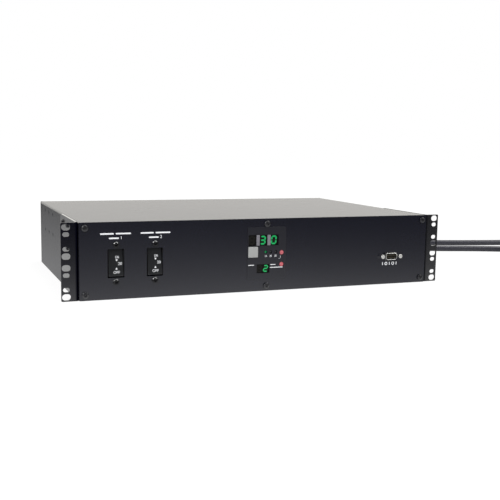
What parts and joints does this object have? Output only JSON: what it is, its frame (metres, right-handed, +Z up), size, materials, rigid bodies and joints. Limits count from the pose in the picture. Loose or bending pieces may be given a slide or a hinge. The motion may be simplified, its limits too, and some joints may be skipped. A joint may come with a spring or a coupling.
{
  "type": "rack static transfer switch",
  "caption": "Two-unit-high black steel rack box with slotted ears, two rocker breakers, a digital meter, a serial port and two input cords.",
  "frame": {"origin": "middle of the underside of the rack unit, measured without its cords", "axes": "+Z up, front panel towards -Y, rack width along X"},
  "size_m": [1.0023, 0.4733, 0.0857],
  "materials": {
    "black_paint": "satin powder coat",
    "black_screw": "black coated steel",
    "plain_steel": "zinc plated",
    "port_metal": "bright plated",
    "contact_gold": "gold plated",
    "prong_brass": "plain brass",
    "case_plastic": "moulded black",
    "rocker_plastic": "semi-gloss black",
    "overlay_film": "printed film",
    "grey_plastic": "light grey",
    "display_black": "dark filter",
    "green_led": "tinted",
    "red_led": "tinted",
    "circuit_board": "solder mask",
    "aluminium": "mill finish",
    "core_steel": "varnished core",
    "ferrite": "epoxy coat",
    "cord_rubber": "matt black jacket"
  },
  "bodies": {
    "unit": {"base_pan": "black_paint", "board_spacers": "plain_steel", "breaker_1_case": "case_plastic", "breaker_1_pin": "plain_steel", "breaker_2_case": "case_plastic", "breaker_2_pin": "plain_steel", "breaker_screws": "black_screw", "control_transformer_1": "core_steel", "control_transformer_2": "core_steel", "cord_coil_1": "cord_rubber", "cord_coil_2": "cord_rubber", "cord_plug_1": "cord_rubber", "cord_plug_2": "cord_rubber", "cord_relief_1": "cord_rubber", "cord_relief_2": "cord_rubber", "current_sensor_1": "ferrite", "current_sensor_2": "ferrite", "digit_frame": "grey_plastic", "digit_left": "display_black", "digit_middle": "display_black", "digit_right": "display_black", "ear_left": "black_paint", "ear_right": "black_paint", "ear_screws": "black_screw", "front_panel": "black_paint", "heat_sink": "aluminium", "input_cord_1": "cord_rubber", "input_cord_2": "cord_rubber", "input_lamp_1": "red_led", "input_lamp_2": "red_led", "input_terminals": "case_plastic", "load_led_1": "green_led", "load_led_2": "green_led", "load_led_3": "green_led", "main_board": "circuit_board", "meter_board": "circuit_board", "meter_overlay": "overlay_film", "meter_standoffs": "plain_steel", "outlet_bank_1": "case_plastic", "outlet_bank_2": "case_plastic", "output_terminals": "case_plastic", "panel_screws": "black_screw", "plug_prongs_1": "prong_brass", "plug_prongs_2": "prong_brass", "port_block": "case_plastic", "port_nuts": "port_metal", "port_pins": "contact_gold", "port_shell": "port_metal", "rear_panel": "black_paint", "rear_screws": "black_screw", "relief_nuts": "case_plastic", "select_switch": "case_plastic", "small_display": "display_black", "thyristor_module_1": "case_plastic", "thyristor_module_2": "case_plastic", "top_cover": "black_paint"},
    "rocker_1": {"breaker_1_rocker": "rocker_plastic"},
    "rocker_2": {"breaker_2_rocker": "rocker_plastic"},
    "button": {"select_button": "grey_plastic"}
  },
  "joints": [
    {"name": "breaker_1_turn", "type": "hinge", "parent": "unit", "child": "rocker_1", "pos_m": [-0.1789, -0.1387, 0.03995], "axis": [1, 0, 0], "range_deg": [0, 15]},
    {"name": "breaker_2_turn", "type": "hinge", "parent": "unit", "child": "rocker_2", "pos_m": [-0.135, -0.1387, 0.03995], "axis": [1, 0, 0], "range_deg": [0, 15]},
    {"name": "select_press", "type": "slide", "parent": "unit", "child": "button", "axis": [0, 1, 0], "range_m": [0, 0.0008], "stiffness_N_per_m": 500}
  ]
}
